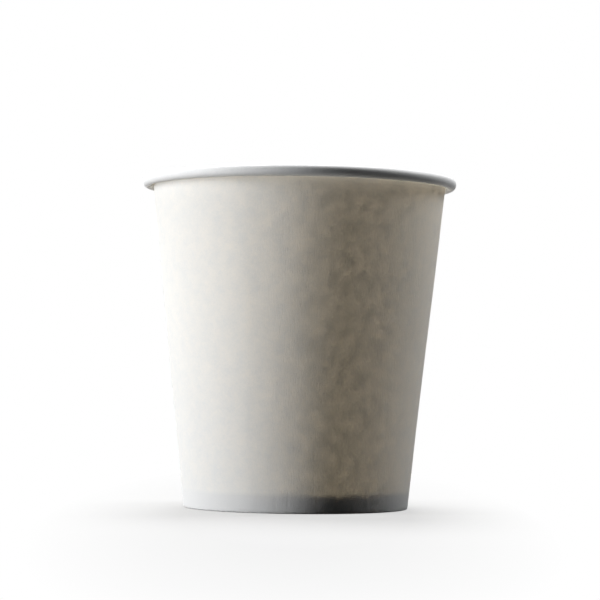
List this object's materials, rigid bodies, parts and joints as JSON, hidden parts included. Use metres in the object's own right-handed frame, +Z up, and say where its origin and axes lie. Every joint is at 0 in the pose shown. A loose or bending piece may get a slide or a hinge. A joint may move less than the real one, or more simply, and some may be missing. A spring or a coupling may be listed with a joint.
{
  "type": "paper specimen cup",
  "caption": "Tapered single-wall paper cup with a rolled rim, a side seam and a base disc held in a folded foot, for collecting a liquid sample.",
  "frame": {"origin": "centre of the foot, in the plane that the cup stands on", "axes": "+Z up along the cup's axis to the rim, +Y towards the side seam, X to either side"},
  "size_m": [0.073, 0.0731, 0.0765],
  "materials": {
    "cup_board": "white uncoated matt board outside, thin clear polyethylene film on the inside",
    "base_board": "white matt board, thin clear polyethylene film on the upper face"
  },
  "bodies": {
    "root": {"side_wall": "cup_board", "base_disc": "base_board"}
  },
  "joints": []
}
